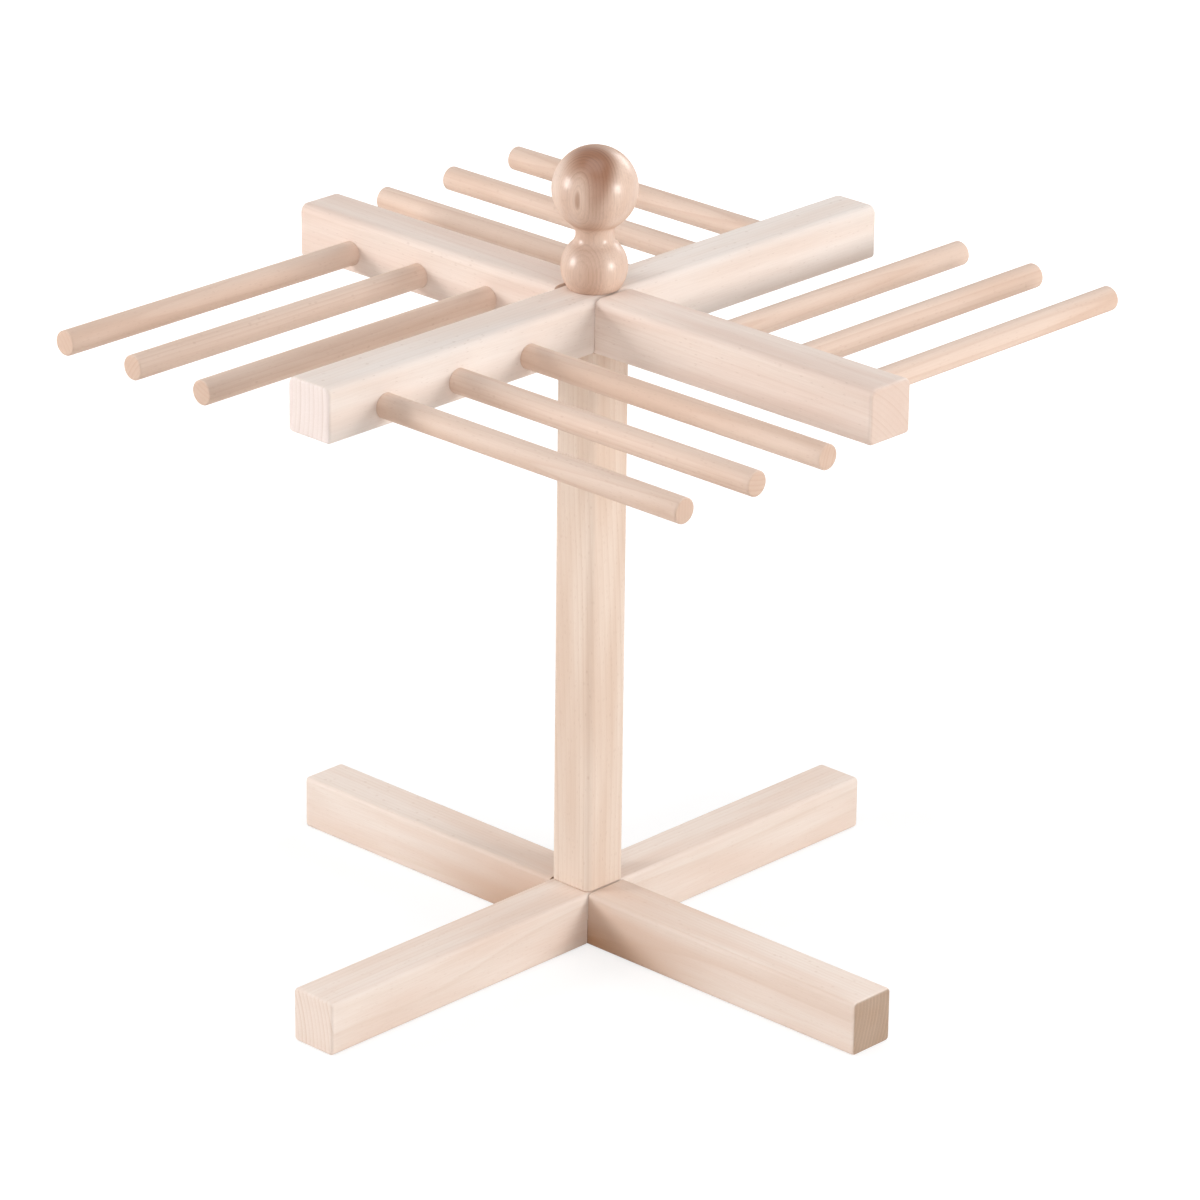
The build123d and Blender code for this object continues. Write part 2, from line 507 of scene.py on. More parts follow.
    def _figure(self, tree: ShaderTree, centre: Vector) -> Figure:
        """Works out the figure of the wood from the place inside the log.

        The place is turned so that the fibres run along the pattern's X. Its distance from the
        log's heart, which leans and sways, gives the growth lines, and its bearing gives the rays.

        Args:
            tree: the material's tree.
            centre: the middle of the piece, in metres.

        Returns:
            The figure.
        """
        cut = self.cut
        turn = Euler(cut.run.value)
        middle = turn.to_matrix() @ (centre / MM)
        place = tree.add("ShaderNodeTexCoord", output="Object")
        wood = tree.add("ShaderNodeMapping", {}, {
            "Vector": place, "Location": -middle, "Rotation": turn, "Scale": (1 / MM,) * 3})
        along, across, through = tree.split(wood)
        from_heart = (across - cut.heart[0] + along * cut.lean[0]
                      + self._sway(tree, wood, cut.shift))
        above_heart = (through - cut.heart[1] + along * cut.lean[1]
                       + self._sway(tree, wood, cut.shift + self.SWAY_SHIFT))
        reach = (from_heart * from_heart + above_heart * above_heart).math("SQRT")
        bearing = above_heart.math("ARCTAN2", from_heart)
        cloud = tree.noise(wood, self.CLOUD_SIZE, self.CLOUD_DETAIL, cut.shift + self.CLOUD_SHIFT)
        facing = tree.split(place.other("Normal"))[cut.run.axis].math("ABSOLUTE")
        return Figure(
            along=along, through=through, from_heart=from_heart, above_heart=above_heart,
            reach=reach, line=self._growth_line(tree, reach),
            fibre=tree.noise(wood, self.FIBRE_SIZE, self.FIBRE_DETAIL, cut.shift),
            cloud=tree.smooth(cloud, *self.CLOUD_EDGE),
            ray=self._rays(tree, along, bearing, reach),
            end=tree.smooth(facing, *self.END_TURN))

    def _sway(self, tree: ShaderTree, wood: Wire, shift: float) -> Wire:
        """Returns how far the growth lines wander at a place, in millimetres."""
        return (tree.noise(wood, self.SWAY_SIZE, shift=shift) - NOISE_MEAN) * self.cut.sway

    def _growth_line(self, tree: ShaderTree, reach: Wire) -> Wire:
        """Marks the dark line in which each year's growth ends.

        A power of the share of the year that has passed, faded out at the year's end, times a
        random strength of that year.

        Args:
            tree: the material's tree.
            reach: the distance from the heart, in millimetres.

        Returns:
            From 0 between the lines to 1.
        """
        rings = reach / self.cut.ring_width
        passed = rings.math("FRACT")
        year = tree.add("ShaderNodeTexWhiteNoise", {"noise_dimensions": "1D"},
                        {"W": rings.math("FLOOR") + self.cut.shift})
        strength = self.LINE_FAINTEST + (1.0 - self.LINE_FAINTEST) * year
        rise = passed.math("POWER", self.LINE_POWER)
        return rise * tree.smooth(passed, *self.LINE_FADE) * strength

    def _colour(self, tree: ShaderTree, figure: Figure) -> Wire:
        """Lays the colours of the wood over one another.

        Args:
            tree: the material's tree.
            figure: the figure of the wood.

        Returns:
            The colour.
        """
        finish = self.finish
        colour = tree.blend(figure.cloud, finish.pale, finish.warm)
        # Painted shade and painted warm reflection over the middle of the piece, darkest at its
        # foot.
        if finish.middle:
            colour = tree.blend(self._painted_hub_shade(tree, figure), colour, finish.middle)
        colour = tree.blend(figure.end * self.END_COVER, colour, finish.end)
        plain_gain, end_gain = self.LINE_GAIN
        line = figure.line * finish.line_strength * (plain_gain + end_gain * figure.end)
        if finish.heartwood:
            brown = self._heartwood(tree, finish.heartwood, figure)
            pale_gain, brown_gain = self.BROWN_GAIN
            line = line * (pale_gain + brown_gain * brown)
            colour = tree.blend(brown * finish.heartwood.strength, colour, finish.heartwood.colour)
        colour = tree.blend(line.math("MINIMUM", 1.0), colour, finish.line)
        fleck = figure.ray * finish.fleck_strength * (1.0 - self.END_FLECK_LOSS * figure.end)
        colour = tree.blend(fleck, colour, finish.fleck)
        streak = tree.smooth(figure.fibre, *self.STREAK_EDGE) * self.STREAK_STRENGTH
        return tree.blend(streak, colour, finish.line)

    def _painted_hub_shade(self, tree: ShaderTree, figure: Figure) -> Wire:
        """Marks the painted shade over the middle of the piece's length, most at its foot.

        Args:
            tree: the material's tree.
            figure: the figure of the wood.

        Returns:
            How strongly the painted shade and warm reflection show, from 0 to 1.
        """
        low = tree.smooth(figure.through, self.HUB_SHADE_RISE, -self.HUB_SHADE_RISE)
        share = self.HUB_SHADE_FAINTEST + (1.0 - self.HUB_SHADE_FAINTEST) * low
        return tree.smooth(figure.along.math("ABSOLUTE"), self.HUB_SHADE_REACH, 0.0) * share

    def _heartwood(self, tree: ShaderTree, wood: Heartwood, figure: Figure) -> Wire:
        """Marks the heartwood, a part of a shell round the log's heart, and the pith inside it.

        Args:
            tree: the material's tree.
            wood: the heartwood.
            figure: the figure of the wood.

        Returns:
            From 0 outside it to 1 in its deepest colour.
        """
        facing = math.radians(wood.facing)
        beside = figure.from_heart * math.cos(facing) + figure.above_heart * math.sin(facing)
        side = tree.smooth(beside, -self.SIDE_SPREAD * wood.softness, wood.softness)
        flare = (figure.along - wood.flare_start).math("MAXIMUM", 0.0) * wood.flare
        near = tree.smooth(figure.reach, wood.near - wood.softness, wood.near + wood.softness)
        far = tree.smooth(figure.reach - flare, wood.far + wood.softness, wood.far - wood.softness)
        depth = wood.faintest + (1.0 - wood.faintest) * tree.smooth(figure.along, *wood.fade)
        pith = tree.smooth(figure.reach, wood.pith, self.PITH_CORE * wood.pith)
        return (side * near * far * depth).math("MAXIMUM", pith * self.PITH_DEPTH)

    def _rays(self, tree: ShaderTree, along: Wire, bearing: Wire, reach: Wire) -> Wire:
        """Marks the ray flecks: thin lenses that point at the heart.

        Args:
            tree: the material's tree.
            along: millimetres along the fibres.
            bearing: the angle round the heart.
            reach: the distance from the heart, in millimetres.

        Returns:
            1 inside a fleck and 0 outside.
        """
        length, width, depth = self.RAY_SIZE
        girth = math.hypot(*self.cut.heart) / width
        cell = tree.add("ShaderNodeCombineXYZ", {}, {
            "X": along / length + self.cut.shift, "Y": bearing * girth, "Z": reach / depth})
        lens = tree.add("ShaderNodeTexVoronoi", {"voronoi_dimensions": "3D"},
                        {"Vector": cell, "Scale": 1.0}, "Distance")
        lot = tree.split(lens.other("Color"))[0]
        bare_share = 1.0 - self.finish.fleck_share
        chosen = tree.smooth(lot, bare_share - self.RAY_CHOICE, bare_share + self.RAY_CHOICE)
        return tree.smooth(lens, *self.RAY_EDGE) * chosen

    def _coat(self, tree: ShaderTree) -> Number:
        """Returns the weight of the clear coat, which is thin where the wood is seen edge on.

        A full coat would mirror the lamps there so brightly that the outline is lost.

        Args:
            tree: the material's tree.

        Returns:
            The weight, a plain 0 on bare wood.
        """
        if not self.finish.lacquer:
            return 0.0
        edge_on = tree.smooth(tree.add("ShaderNodeLayerWeight", output="Facing"), *self.COAT_EDGE)
        return self.finish.lacquer * (1.0 - self.COAT_THINNING * edge_on)


def closed_tube(name: str, rings: np.ndarray) -> bpy.types.Object:
    """Joins rings of points by quads to one closed smooth piece.

    Its faces look along the run from ring to ring crossed with the run inside a ring. Points that
    fall together, as at both poles, are welded. Quads that this pinches to a triangle are made
    triangles, and those pinched to a line are dropped.

    Args:
        name: the piece's name.
        rings: rings by points by three, in metres.

    Returns:
        The piece, at the origin, with its place in its mesh.
    """
    count, columns = rings.shape[:2]
    index = np.arange(count * columns).reshape(count, columns)
    index = np.concatenate([index, index[:, :1]], axis=1)
    corners = (index[:-1, :-1], index[1:, :-1], index[1:, 1:], index[:-1, 1:])
    points = rings.reshape(-1, 3)
    _, first, welded = np.unique(np.round(points / WELD).astype(np.int64), axis=0,
                                 return_index=True, return_inverse=True)
    quads = welded.reshape(-1)[np.stack(corners, axis=-1).reshape(-1, 4)]
    pinched = quads == np.roll(quads, -1, axis=1)
    whole = quads[~pinched.any(axis=1)]
    bent = quads[pinched.sum(axis=1) == 1]
    keep = ~(bent == np.roll(bent, -1, axis=1))
    triangles = bent[keep].reshape(-1, 3)
    mesh = bpy.data.meshes.new(name)
    mesh.from_pydata(points[first].tolist(), [], whole.tolist() + triangles.tolist())
    mesh.validate()
    mesh.shade_smooth()
    mesh.set_sharp_from_angle(angle=SHARP_ANGLE)
    piece = bpy.data.objects.new(name, mesh)
    bpy.context.scene.collection.objects.link(piece)
    return piece


def lifted(wave: np.ndarray) -> np.ndarray:
    """Brings a wave between -1 and 1 to one between 0 and 1."""
    return 0.5 + 0.5 * wave


def ripple(first: np.ndarray, second: np.ndarray, waves: int, seed: int,
           most_turns: int = 3, pace: tuple[float, float] = (0.4, 1.2)) -> np.ndarray:
    """A smooth uneven surface from -1 to 1: the mean of sine waves of seeded direction and phase.

    Args:
        first: the first coordinate, in wavelengths.
        second: the second coordinate, in whole turns where it closes on itself.
        waves: how many sines are added.
        seed: the seed of their directions and phases.
        most_turns: the most waves that one sine has round the second coordinate.
        pace: the fewest and the most waves that it has for each unit of the first.

    Returns:
        The height at each point.
    """
    dice = np.random.default_rng(seed)
    total = np.zeros(np.broadcast(first, second).shape)
    for _ in range(waves):
        turns = dice.integers(0, most_turns + 1)
        total += np.sin(2 * np.pi * (first * dice.uniform(*pace) + second * turns
                                     + dice.uniform()))
    return total / waves


@dataclass
class Knob:
    """The turned knob: a small ball cut flat at its foot, a cove and a large ball, in millimetres.

    Attributes:
        node: the node that it stands for.
        body: the body that it rides on.
        lower_centre_height: the height of the small ball's centre above the foot.
        lower_radius: the small ball's radius.
        upper_radius: the large ball's radius.
        cove_radius: the radius of the cove between the balls.
        foot_ease: the radius of the edge round the foot.
        bore_radius: the radius of the bore for the dowel.
        bore_depth: how deep the bore is.
        columns: how many points each ring has.
        point_spacing: how far apart the outline's points are.
        tool_mark_depth: how deep the tool marks are at the neck.
        tool_mark_pitch: the distance from one tool mark to the next.
        tool_mark_fade: the reach, in radii of the small ball, at which they would vanish.
        tool_mark_share: the least and the greatest share of their depth.
        bore_margin: how far outside the bore they begin.
        shrinkage: how much nearer the axis the large ball's shrunken sides are.
    """

    node: str = "knob"
    body: str = "knob"
    lower_centre_height: float = 10.2
    lower_radius: float = 15.7
    upper_radius: float = 20.2
    cove_radius: float = 6.4
    foot_ease: float = 0.5
    bore_radius: float = 6.02
    bore_depth: float = 18.0
    columns: int = 144
    point_spacing: float = 0.6
    tool_mark_depth: float = 0.03
    tool_mark_pitch: float = 0.9
    tool_mark_fade: float = 1.6
    tool_mark_share: tuple[float, float] = (0.2, 1.0)
    bore_margin: float = 0.5
    shrinkage: float = 0.12

    def profile(self, foot: float, top: float) -> np.ndarray:
        """The knob's outline, as distances from the axis and heights.

        It runs up inside the bore, out over the foot, round the lower ball, through the cove and
        round the upper ball to the top. The cove's centre lies a cove's radius off both balls.

        Args:
            foot: the height of the foot.
            top: the height of the top.

        Returns:
            Points by two.
        """
        lower = foot + self.lower_centre_height
        upper = top - self.upper_radius
        to_lower = self.lower_radius + self.cove_radius
        to_upper = self.upper_radius + self.cove_radius
        spacing = upper - lower
        rise = (spacing ** 2 + to_lower ** 2 - to_upper ** 2) / (2 * spacing)
        beside = math.sqrt(to_lower ** 2 - rise ** 2)
        lower_angle = math.degrees(math.atan2(rise, beside))
        upper_angle = math.degrees(math.atan2(spacing - rise, beside))
        foot_angle = -math.degrees(math.asin((self.lower_centre_height - self.foot_ease)
                                             / self.lower_radius))
        bore_top = foot + self.bore_depth
        foot_radius = self.lower_radius * math.cos(math.radians(foot_angle)) - self.foot_ease
        runs = [
            self._line((0.0, bore_top), (self.bore_radius, bore_top)),
            self._line((self.bore_radius, bore_top), (self.bore_radius, foot)),
            self._line((self.bore_radius, foot), (foot_radius, foot)),
            self._arc((foot_radius, foot + self.foot_ease), self.foot_ease, -90.0, foot_angle),
            self._arc((0.0, lower), self.lower_radius, foot_angle, lower_angle),
            self._arc((beside, lower + rise), self.cove_radius, 180.0 + lower_angle,
                      180.0 - upper_angle),
            self._arc((0.0, upper), self.upper_radius, -upper_angle, 90.0),
        ]
        return np.concatenate([runs[0]] + [run[1:] for run in runs[1:]])

    def _line(self, start: tuple[float, float], end: tuple[float, float]) -> np.ndarray:
        """Evenly spaced points on a straight line."""
        count = max(2, round(math.dist(start, end) / self.point_spacing) + 1)
        return np.linspace(start, end, count)

    def _arc(self, centre: tuple[float, float], radius: float, start: float,
             end: float) -> np.ndarray:
        """Evenly spaced points on an arc, from one angle to another in degrees.

        Args:
            centre: the arc's centre.
            radius: its radius.
            start: the first angle.
            end: the last angle.

        Returns:
            Points by two.
        """
        length = radius * math.radians(abs(end - start))
        count = max(3, round(length / self.point_spacing) + 1)
        angles = np.radians(np.linspace(start, end, count))
        return np.stack([centre[0] + radius * np.cos(angles),
                         centre[1] + radius * np.sin(angles)], -1)

    def build(self) -> bpy.types.Object:
        """Turns the profile about the axis, with faint tool marks and a shrunken side.

        Tool marks are a sine of the distance along the profile that is strongest at the neck.
        Wood shrinks more along its growth lines, so the round is very slightly oval.

        Returns:
            The knob.
        """
        low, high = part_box(self.node)
        outline = self.profile(low.z / MM, high.z / MM)
        reach, height = outline[:, 0], outline[:, 1]
        travel = np.concatenate([[0.0], np.cumsum(np.hypot(*np.diff(outline, axis=0).T))])
        share = np.clip(self.tool_mark_fade - reach / self.lower_radius, *self.tool_mark_share)
        depth = self.tool_mark_depth * share
        marks = depth * lifted(np.sin(2 * np.pi * travel / self.tool_mark_pitch))
        marked = reach > self.bore_radius + self.bore_margin
        turned = np.maximum(reach - np.where(marked, marks, 0.0), 0.0)
        angle = np.linspace(0.0, 2 * np.pi, self.columns, endpoint=False)
        oval = 1.0 - self.shrinkage / self.upper_radius * lifted(np.cos(2 * angle))
        radius = turned[:, None] * oval
        points = np.stack([radius * np.cos(angle), radius * np.sin(angle),
                           np.broadcast_to(height[:, None], radius.shape)], -1) * MM
        return closed_tube("knob_turned", points[:, ::-1])


@dataclass
class Rod:
    """One round drying rod, a dowel with softened rims. Lengths are in millimetres.

    Attributes:
        node: the node that it stands for.
        seed: the seed of its unevenness.
        rim: the radius of its rims.
        flat_rings: how many rings of points its flat ends have.
        rim_rings: how many rings its rims have.
        columns: how many points each ring has.
        station_spacing: how far apart the stem's rings are.
        unevenness: how far the stem's surface dips.
        wavelength: the length of a dip.
        waves: how many sines make the dips.
        saw_tilt: how far its free end was sawn askew.
        saw_power: how steeply that tilt dies away along the stem.
    """

    node: str
    seed: int
    rim: float = 0.9
    flat_rings: int = 5
    rim_rings: int = 7
    columns: int = 56
    station_spacing: float = 4.0
    unevenness: float = 0.05
    wavelength: float = 60.0
    waves: int = 5
    saw_tilt: float = 0.12
    saw_power: int = 60

    def profile(self, radius: float, length: float) -> tuple[np.ndarray, np.ndarray]:
        """The rod's outline: a flat end, a quarter round rim, the stem, a rim and a flat end.

        Args:
            radius: the stem's radius.
            length: the rod's length.

        Returns:
            The points' distances along the axis from the seated end, and those from the axis.
        """
        flat = np.linspace(0.0, radius - self.rim, self.flat_rings)
        curve = np.radians(np.linspace(0.0, 90.0, self.rim_rings))[1:]
        rim_reach = radius - self.rim + self.rim * np.sin(curve)
        rim_travel = self.rim * (1.0 - np.cos(curve))
        stem = np.linspace(self.rim, length - self.rim, round(length / self.station_spacing))[1:-1]
        travel = np.concatenate([np.zeros(len(flat)), rim_travel, stem, (length - rim_travel)[::-1],
                                 np.full(len(flat), length)])
        reach = np.concatenate([flat, rim_reach, np.full(len(stem), radius), rim_reach[::-1],
                                flat[::-1]])
        return travel, reach

    def build(self) -> bpy.types.Object:
        """Carries a circle along the rod's axis, from its seated end to its free one.

        Its radius dips by seeded sine waves, and the free end's flat is a little askew, by a
        cosine round the axis. Both only take wood away.

        Returns:
            The rod.
        """
        low, high = (np.array(corner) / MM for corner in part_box(self.node))
        axis = int(np.argmax(high - low))
        across = [number for number in range(3) if number != axis]
        radius = (high - low)[across[0]] / 2
        free_end_high = abs(high[axis]) > abs(low[axis])
        length = high[axis] - low[axis]

        travel, reach = self.profile(radius, length)
        angle = np.linspace(0.0, 2 * np.pi, self.columns, endpoint=False)
        turns = angle / (2 * np.pi)
        wave = ripple(travel[:, None] / self.wavelength, turns, self.waves, self.seed)
        dent = self.unevenness * lifted(wave) * (reach / radius)[:, None]
        round_reach = reach[:, None] - dent
        tilt = self.saw_tilt * lifted(np.cos(angle + self.seed)) * (reach / radius)[:, None]
        along = travel[:, None] - tilt * (travel[:, None] / length) ** self.saw_power

        points = np.empty((*round_reach.shape, 3))
        centre = (low + high) / 2
        start = low[axis] if free_end_high else high[axis]
        sign = 1.0 if free_end_high else -1.0
        points[..., axis] = start + sign * along
        points[..., across[0]] = centre[across[0]] + round_reach * np.cos(angle)
        points[..., across[1]] = centre[across[1]] + round_reach * np.sin(angle)
        right_handed = (axis != 1) == free_end_high
        rings = points[:, ::-1] if right_handed else points
        return closed_tube(f"{self.node}_dowel", rings * MM)


@dataclass(frozen=True)
class Dressing:
    """The finish of one node, and how its wood was cut."""

    finish: BeechFinish
    cut: LogCut


class Rack:
    """The whole rack: makes its fine pieces and gives each piece and node its wood.

    Attributes:
        BARS: the dressing of each node that keeps its CAD mesh.
        ARMS: the body of each arm of the upper cross, and the run of its rods.
        ROD_PLACES: the places of an arm's rods, from the hub outwards.
        ROD_DICE: the seed of the draws for the rods.
        ROD_SEEDS: the range of the rods' own seeds.
        ROD_HEARTS: how near and how far the log's heart lies from a rod.
        ROD_LEAN: how far at most the heart drifts for each millimetre along a rod.
        ROD_RING_WIDTHS: the narrowest and the widest mean distance between growth lines.
        ROD_SWAY: how far a rod's growth lines wander.
        KNOB_CUT: how the knob's wood lay in its log.
        slots: the material slot of each node.
    """

    BARS = {
        "base_bar_lower": Dressing(Finishes.BASE_LOWER, LogCut(
            GrainRun.ALONG_X, heart=(-62.0, 8.0), lean=(0.02, 0.0), ring_width=2.3, sway=7.0,
            shift=3.0)),
        "base_bar_upper": Dressing(Finishes.BASE, LogCut(
            GrainRun.ALONG_Y, heart=(88.0, -20.0), lean=(0.01, 0.01), ring_width=2.6, sway=4.0,
            shift=11.0)),
        "post": Dressing(Finishes.POST, LogCut(
            GrainRun.ALONG_Z, heart=(-50.0, 46.0), lean=(0.03, 0.0), ring_width=2.4, sway=6.0,
            shift=17.0)),
        "cross_bar_lower": Dressing(Finishes.CROSS_LOWER, LogCut(
            GrainRun.ALONG_X, heart=(-58.0, -66.0), lean=(0.02, 0.02), ring_width=2.4, sway=4.0,
            shift=23.0)),
        "cross_bar_upper": Dressing(Finishes.CROSS, LogCut(
            GrainRun.ALONG_Y, heart=(104.0, 6.0), lean=(0.0, 0.01), ring_width=2.7, sway=3.0,
            shift=29.0)),
        "pivot_dowel": Dressing(Finishes.ROD, LogCut(
            GrainRun.ALONG_Z, heart=(30.0, 12.0), shift=37.0)),
        "knob_dowel": Dressing(Finishes.ROD, LogCut(
            GrainRun.ALONG_Z, heart=(-26.0, 20.0), shift=41.0)),
    }
    ARMS = {
        "front_left": ("cross_upper", GrainRun.ALONG_X),
        "back_right": ("cross_upper", GrainRun.ALONG_X),
        "front_right": ("cross_lower", GrainRun.ALONG_Y),
        "back_left": ("cross_lower", GrainRun.ALONG_Y),
    }
    ROD_PLACES = ("inner", "middle", "outer")
    ROD_DICE = 12
    ROD_SEEDS = (1, 1000)
    ROD_HEARTS = (22.0, 60.0)
    ROD_LEAN = 0.03
    ROD_RING_WIDTHS = (1.6, 2.4)
    ROD_SWAY = 2.0
    KNOB_CUT = LogCut(GrainRun.ALONG_Z, heart=(-20.7, -7.6), ring_width=1.6, sway=1.2, shift=47.0)

    def __init__(self) -> None:
        """Reads the slots of the record."""
        self.slots = {part["node"]: part["material_slot"] for part in frame["record"]["subparts"]}

    def dress(self, piece: bpy.types.Object, node: str, finish: BeechFinish, cut: LogCut) -> None:
        """Gives a piece or a node its own material.

        Args:
            piece: the object to dress.
            node: the node whose place the wood is centred on.
            finish: its finish.
            cut: how it was sawn.
        """
        low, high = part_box(node)
        material = BeechPaint(finish, cut).material(f"{node}_wood", (low + high) / 2)
        if piece.material_slots:
            piece.material_slots[0].material = material
        else:
            piece.data.materials.append(material)

    def stand_in(self, piece: bpy.types.Object, node: str, body: str) -> None:
        """Lets a piece ride on its body and stand for its node.

        Args:
            piece: the finer piece.
            node: the node that it stands for.
            body: the body that it rides on.
        """
        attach(piece, body)
        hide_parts(node)
        LOG.info("%s stands for %s: %d faces", piece.name, node, len(piece.data.polygons))

    def build_bars(self) -> None:
        """Dresses the bars, the post and the two hidden dowels."""
        for node, dressing in self.BARS.items():
            self.dress(frame["nodes"][node], node, dressing.finish, dressing.cut)
            LOG.info("%s is dressed in %s", node, self.slots[node])

    def build_rods(self) -> None:
        """Makes the twelve rods, each with its own place in the log."""
        dice = np.random.default_rng(self.ROD_DICE)
        for arm, (body, run) in self.ARMS.items():
            for place in self.ROD_PLACES:
                node = f"rod_{arm}_{place}"
                seed = int(dice.integers(*self.ROD_SEEDS))
                bearing = dice.uniform(0.0, 2 * np.pi)
                distance = dice.uniform(*self.ROD_HEARTS)
                lean = dice.uniform(-self.ROD_LEAN, self.ROD_LEAN)
                ring_width = dice.uniform(*self.ROD_RING_WIDTHS)
                heart = (distance * math.cos(bearing), distance * math.sin(bearing))
                cut = LogCut(run, heart, (lean, 0.0), ring_width, self.ROD_SWAY, float(seed))
                rod = Rod(node, seed).build()
                self.dress(rod, node, Finishes.ROD, cut)
                self.stand_in(rod, node, body)

    def build_knob(self) -> None:
        """Makes the knob."""
        knob = Knob()
        piece = knob.build()
        self.dress(piece, knob.node, Finishes.KNOB, self.KNOB_CUT)
        self.stand_in(piece, knob.node, knob.body)

    def build(self) -> None:
        """Makes everything."""
        self.build_bars()
        self.build_rods()
        self.build_knob()


@dataclass(frozen=True)
class SoftBox:
    """A square lamp that faces the rack.

    Attributes:
        name: the lamp's name.
        towards: the direction from the rack to the lamp.
        distance: how far off it is, in metres.
        side: its side, in metres.
        level: how brightly it alone lights a white face turned to it, from 0 to 1.
        colour: its colour.
    """

    name: str
    towards: tuple[float, float, float]
    distance: float
    side: float
    level: float
    colour: Rgb = (1.0, 1.0, 1.0)

    def build(self, target: Vector) -> None:
        """Makes the lamp.

        A small lamp of power P gives a white face at distance d the level P / (pi d)^2.

        Args:
            target: the point that it faces.
        """
        lamp = bpy.data.lights.new(self.name, "AREA")
        lamp.shape = "SQUARE"
        lamp.size = self.side
        lamp.energy = self.level * (math.pi * self.distance) ** 2
        lamp.color = self.colour
        holder = bpy.data.objects.new(self.name, lamp)
        bpy.context.scene.collection.objects.link(holder)
        away = Vector(self.towards).normalized()
        holder.location = target + away * self.distance
        holder.rotation_euler = away.to_track_quat("Z", "Y").to_euler()


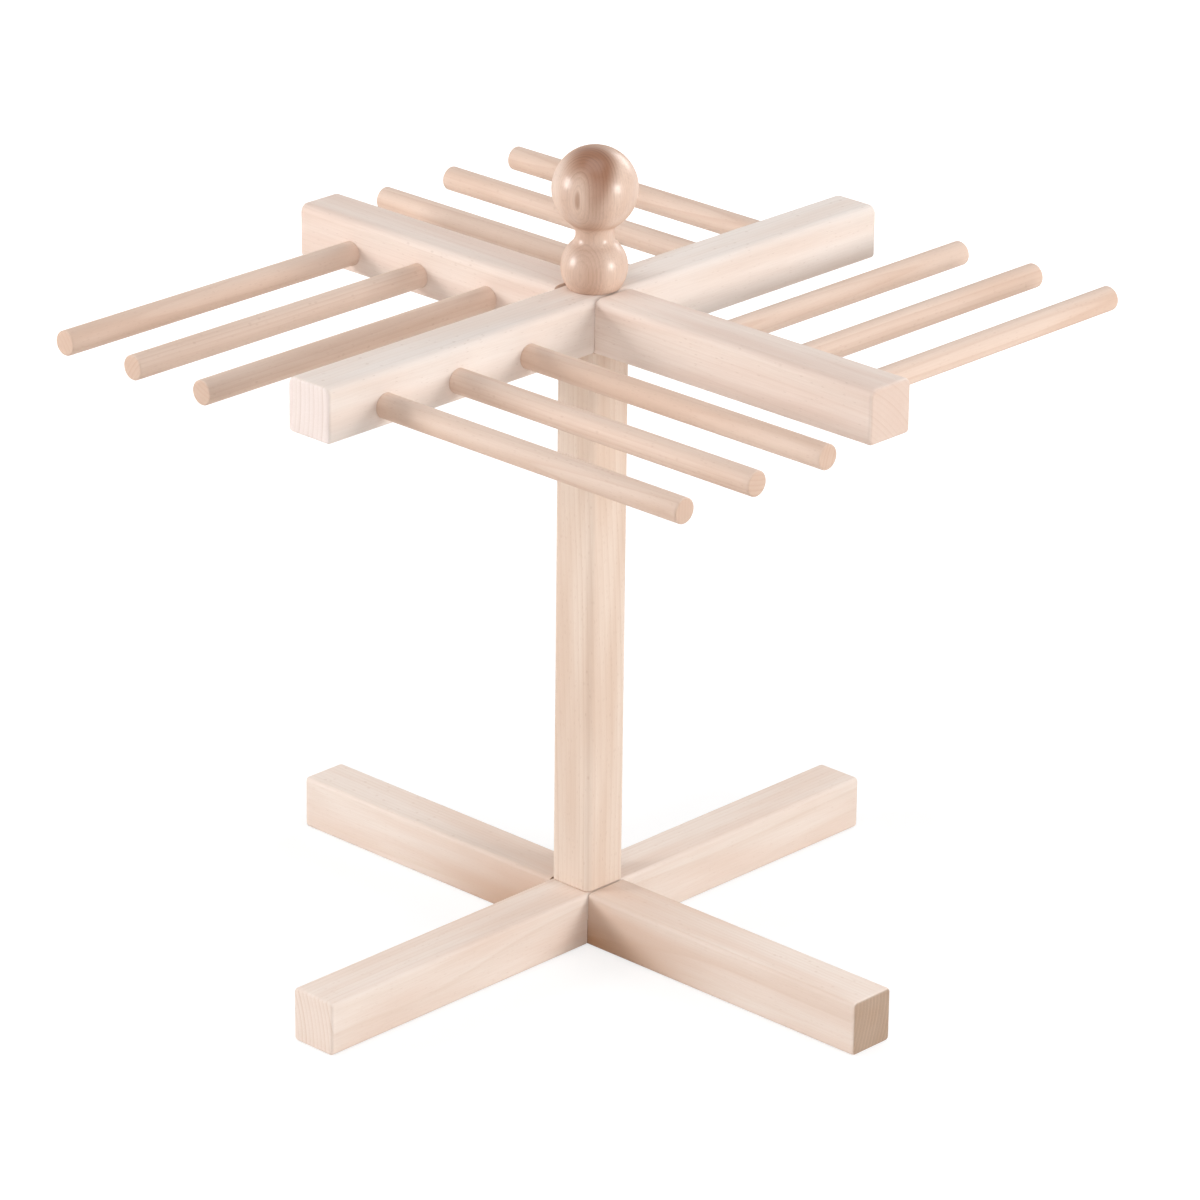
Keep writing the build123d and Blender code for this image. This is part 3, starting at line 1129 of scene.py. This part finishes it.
class Studio:
    """A pale floor, soft lamps, a white surround and the camera. Lengths are in metres.

    Attributes:
        LAMPS: the lamps.
        TARGET: the point that the lamps face.
        AMBIENT: how brightly the surround alone lights a white face, from 0 to 1.
        WHITE: the colour of the surround.
        FLOOR_SIDE: the floor's side.
        FLOOR_DROP: how far the floor lies below the rack's foot.
        FLOOR_PAPER: the floor's colour as the rack receives it.
        FLOOR_SHADE: the part of the floor's brightness that the lamps and shadows make.
        FLOOR_GLOW: the part that it gives off itself, by the rack and away from it.
        SHADOW_REACH: how far from the axis the glow begins to rise, and where it is full.
    """

    LAMPS = (
        SoftBox("left_box", towards=(-0.60, -0.74, 0.30), distance=1.7, side=0.55, level=0.54,
                colour=(1.0, 0.985, 0.975)),
        SoftBox("right_box", towards=(0.945, 0.254, 0.23), distance=1.7, side=0.45, level=0.46,
                colour=(1.0, 0.985, 0.97)),
        SoftBox("front_box", towards=(0.62, -0.66, 0.45), distance=3.3, side=2.4, level=0.14),
        SoftBox("back_box", towards=(-0.09, 0.92, 0.47), distance=1.9, side=0.85, level=0.24),
        SoftBox("top_box", towards=(0.1, -0.15, 1.0), distance=1.8, side=1.2, level=0.28,
                colour=(0.95, 0.97, 1.0)),
    )
    TARGET = Vector((0.0, 0.0, 0.2))
    AMBIENT = 0.28
    WHITE = grey(1.0)
    FLOOR_SIDE = 12.0
    FLOOR_DROP = 0.0002
    FLOOR_PAPER = srgb(236, 231, 227)
    FLOOR_SHADE = grey(0.36)
    FLOOR_GLOW = (grey(0.72), grey(0.97))
    SHADOW_REACH = (0.3, 1.1)

    def build_floor(self) -> None:
        """Lays a floor that looks white to the camera and keeps the rack's shadow.

        It glows most away from the rack, where the lamps light it less.
        """
        half = self.FLOOR_SIDE / 2
        corners = [(-half, -half), (half, -half), (half, half), (-half, half)]
        mesh = bpy.data.meshes.new("floor")
        mesh.from_pydata([(x, y, -self.FLOOR_DROP) for x, y in corners], [], [(0, 1, 2, 3)])
        floor = bpy.data.objects.new("floor", mesh)
        bpy.context.scene.collection.objects.link(floor)
        material = bpy.data.materials.new("floor_paper")
        tree = ShaderTree(material)
        seen = self._seen(tree)
        paper = tree.add("ShaderNodeBsdfDiffuse", {}, {"Color": self.FLOOR_PAPER})
        shaded = tree.add("ShaderNodeBsdfDiffuse", {}, {"Color": self.FLOOR_SHADE})
        place = tree.add("ShaderNodeTexCoord", output="Object")
        reach = tree.add("ShaderNodeVectorMath", {"operation": "LENGTH"}, {0: place}, "Value")
        away = tree.smooth(reach, *self.SHADOW_REACH)
        light = tree.blend(away, *self.FLOOR_GLOW)
        glow = tree.add("ShaderNodeEmission", {}, {"Color": light, "Strength": 1.0})
        bright = tree.add("ShaderNodeAddShader", {}, {0: shaded, 1: glow})
        mixed = tree.add("ShaderNodeMixShader", {}, {0: seen, 1: paper, 2: bright})
        tree.add("ShaderNodeOutputMaterial", {}, {"Surface": mixed})
        mesh.materials.append(material)

    def _seen(self, tree: ShaderTree) -> Wire:
        """Returns 1 for a ray from the camera, or one that gloss or glass passes on."""
        path = tree.add("ShaderNodeLightPath", output="Is Camera Ray")
        return path.math("MAXIMUM", path.other("Is Glossy Ray")).math(
            "MAXIMUM", path.other("Is Transmission Ray"))

    def build_world(self) -> None:
        """Surrounds the rack with even light, which looks white."""
        world = bpy.data.worlds.new("surround")
        bpy.context.scene.world = world
        tree = ShaderTree(world)
        light = tree.add("ShaderNodeBackground", {}, {
            "Color": self.WHITE, "Strength": self.AMBIENT})
        white = tree.add("ShaderNodeBackground", {}, {"Color": self.WHITE, "Strength": 1.0})
        mixed = tree.add("ShaderNodeMixShader", {}, {0: self._seen(tree), 1: light, 2: white})
        tree.add("ShaderNodeOutputWorld", {}, {"Surface": mixed})

    def build(self) -> None:
        """Makes the studio."""
        for lamp in self.LAMPS:
            lamp.build(self.TARGET)
        self.build_floor()
        self.build_world()
        Viewpoint().build()


@dataclass(frozen=True)
class Viewpoint:
    """The camera's place: angles in degrees, lengths in metres, focal length in millimetres.

    Attributes:
        azimuth: how far round it stands from the -Y side towards +X.
        elevation: how high it looks down from.
        roll: how far it leans.
        distance: how far off it is.
        aim_right: how far right of the axis it aims.
        aim_height: the height that it aims at.
        lens: its focal length.
        sensor: the width of its sensor, also in millimetres.
    """

    azimuth: float = 43.44
    elevation: float = 22.17
    roll: float = 0.69
    distance: float = 2.870
    aim_right: float = 0.00452
    aim_height: float = 0.17136
    lens: float = 182.63
    sensor: float = 36.0

    def build(self) -> None:
        """Makes the camera from its right, up and outward directions."""
        azimuth, elevation, roll = map(math.radians, (self.azimuth, self.elevation, self.roll))
        right = Vector((math.cos(azimuth), math.sin(azimuth), 0.0))
        out = Vector((math.sin(azimuth) * math.cos(elevation),
                      -math.cos(azimuth) * math.cos(elevation), math.sin(elevation)))
        up = out.cross(right)
        leaning_right = right * math.cos(roll) + up * math.sin(roll)
        leaning_up = up * math.cos(roll) - right * math.sin(roll)
        place = right * self.aim_right + Vector((0.0, 0.0, self.aim_height)) + out * self.distance
        data = bpy.data.cameras.new("camera")
        data.lens = self.lens
        data.sensor_width = self.sensor
        camera = bpy.data.objects.new("camera", data)
        bpy.context.scene.collection.objects.link(camera)
        turn = Matrix((leaning_right, leaning_up, out)).transposed().to_4x4()
        camera.matrix_world = Matrix.Translation(place) @ turn
        bpy.context.scene.camera = camera


def main() -> None:
    """Builds the studio and the rack."""
    logging.basicConfig(level=logging.INFO, format="%(name)s: %(message)s")
    bpy.context.scene.view_settings.view_transform = "Standard"
    Studio().build()
    Rack().build()


if __name__ == "__main__":
    main()
